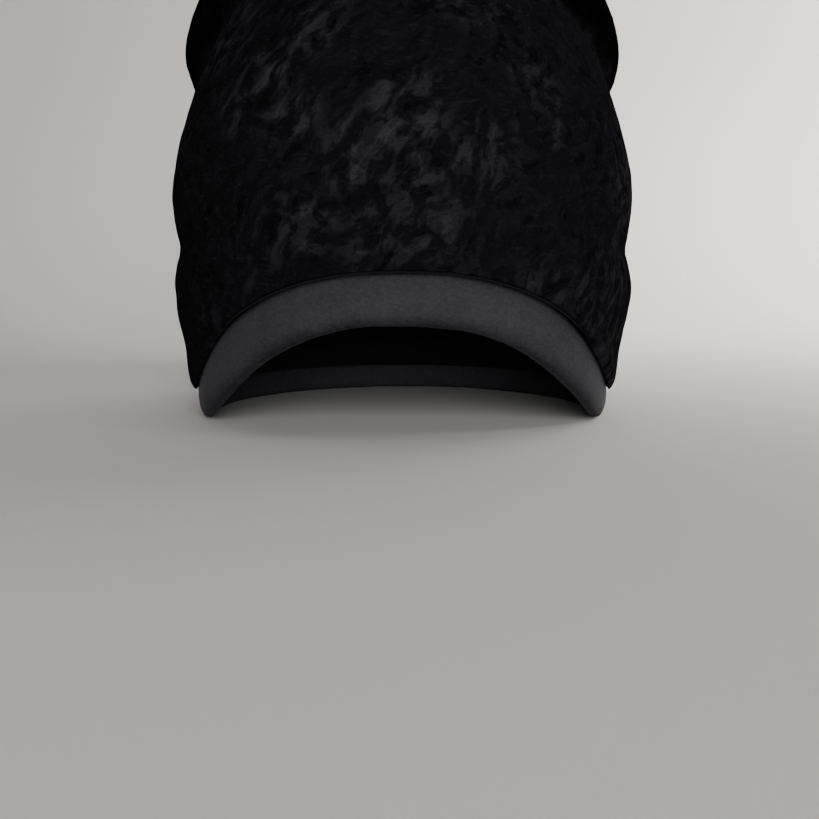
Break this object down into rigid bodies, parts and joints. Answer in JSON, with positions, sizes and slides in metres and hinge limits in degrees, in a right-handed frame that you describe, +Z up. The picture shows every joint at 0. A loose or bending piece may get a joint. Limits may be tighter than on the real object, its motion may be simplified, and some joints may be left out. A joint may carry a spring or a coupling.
{
  "type": "slouchy beanie",
  "caption": "Tall slouchy beanie of crushed velvet, its back in stacked folds, with a padded jersey band round an arched rim.",
  "frame": {"origin": "under the middle of the hat's box, on the surface that its rim rests on", "axes": "+Z up through the crown, -Y towards the front of the hat where the rim arches, +X to the wearer's left"},
  "size_m": [0.197, 0.2258, 0.222],
  "materials": {
    "crushed_velvet": "black crushed velvet",
    "band_jersey": "charcoal fine jersey, matt"
  },
  "bodies": {
    "root": {"velvet_crown": "crushed_velvet", "jersey_band": "band_jersey"}
  },
  "joints": []
}
